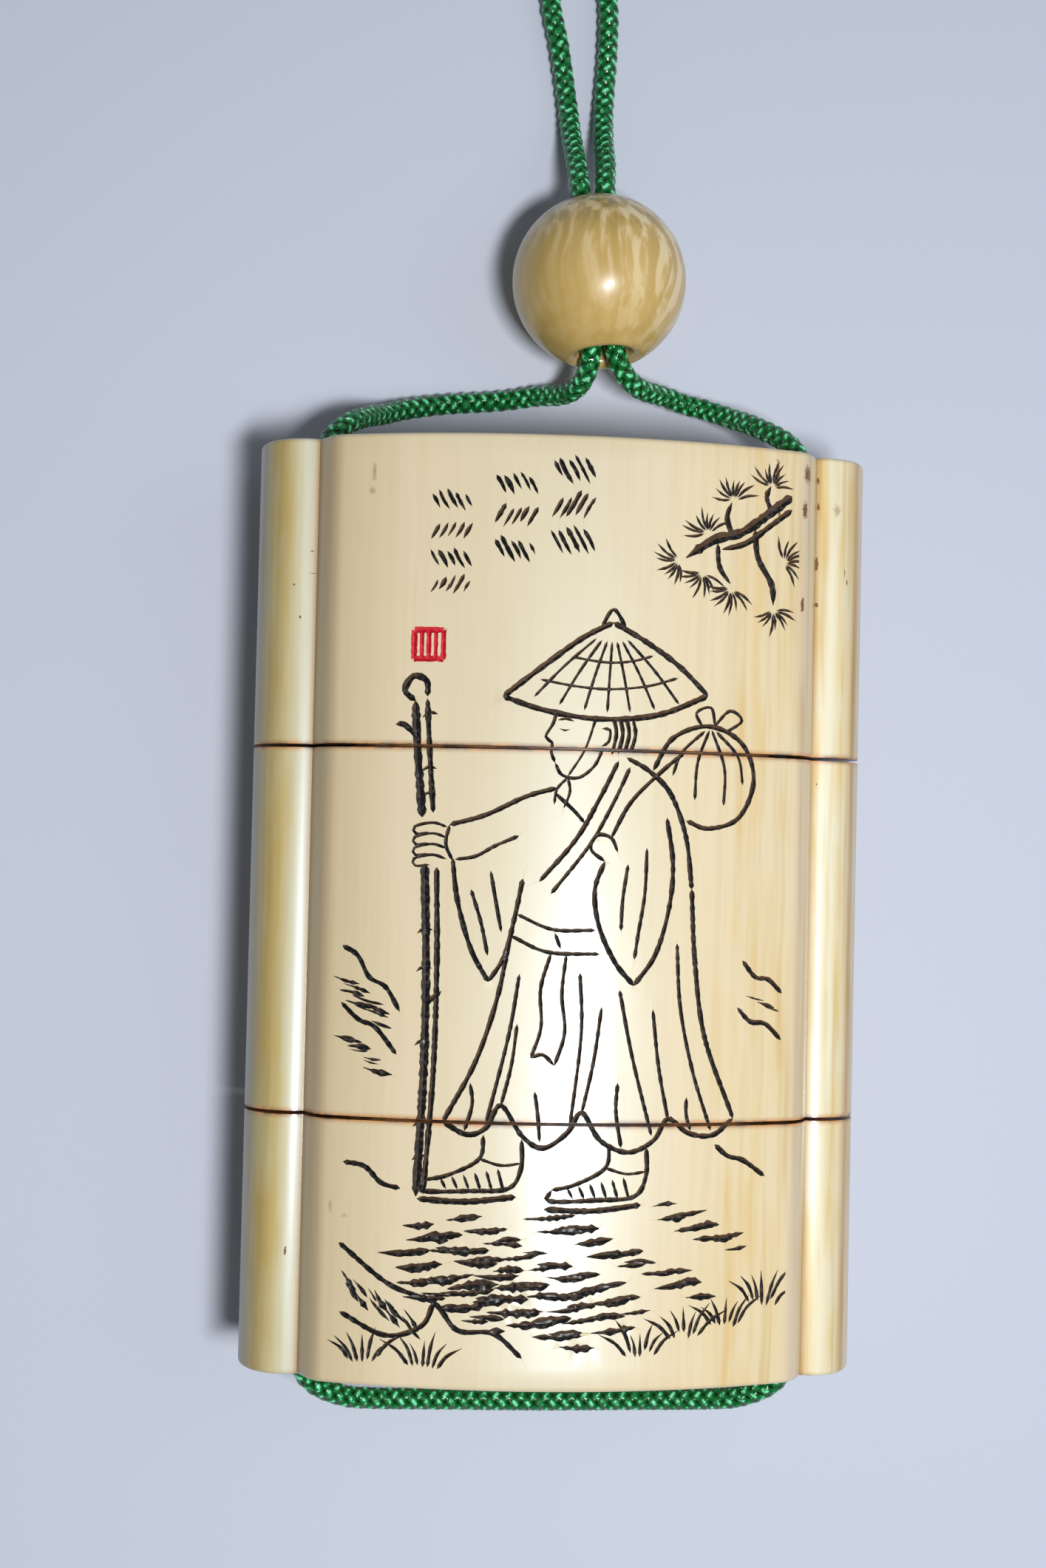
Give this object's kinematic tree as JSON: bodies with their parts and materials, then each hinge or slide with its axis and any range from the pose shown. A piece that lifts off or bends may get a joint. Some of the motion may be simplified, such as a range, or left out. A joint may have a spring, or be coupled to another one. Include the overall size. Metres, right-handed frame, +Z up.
{
  "type": "inro case",
  "caption": "Stacked ivory inro of lid and two cases with inked engraving, strung on a braided cord with an ojime bead.",
  "frame": {"origin": "middle of the narrow flat along the case's back, where the inro rests on a surface", "axes": "+Z up out of the engraved front, +Y along the case towards the lid and the bead, +X to the right of the front"},
  "size_m": [0.054, 0.1742, 0.0238],
  "materials": {
    "ivory": "polished aged ivory, cream with amber grain, black inked engraving",
    "bead_ivory": "polished ivory, tan with pale wavy grain",
    "green_cord": "braided satin cord, deep green"
  },
  "bodies": {
    "root": {"lid": "ivory", "middle_case": "ivory", "bottom_case": "ivory", "ojime_bead": "bead_ivory", "cord": "green_cord", "cord_hank": "green_cord", "hank_tie": "green_cord", "cord_knot": "green_cord"}
  },
  "joints": []
}
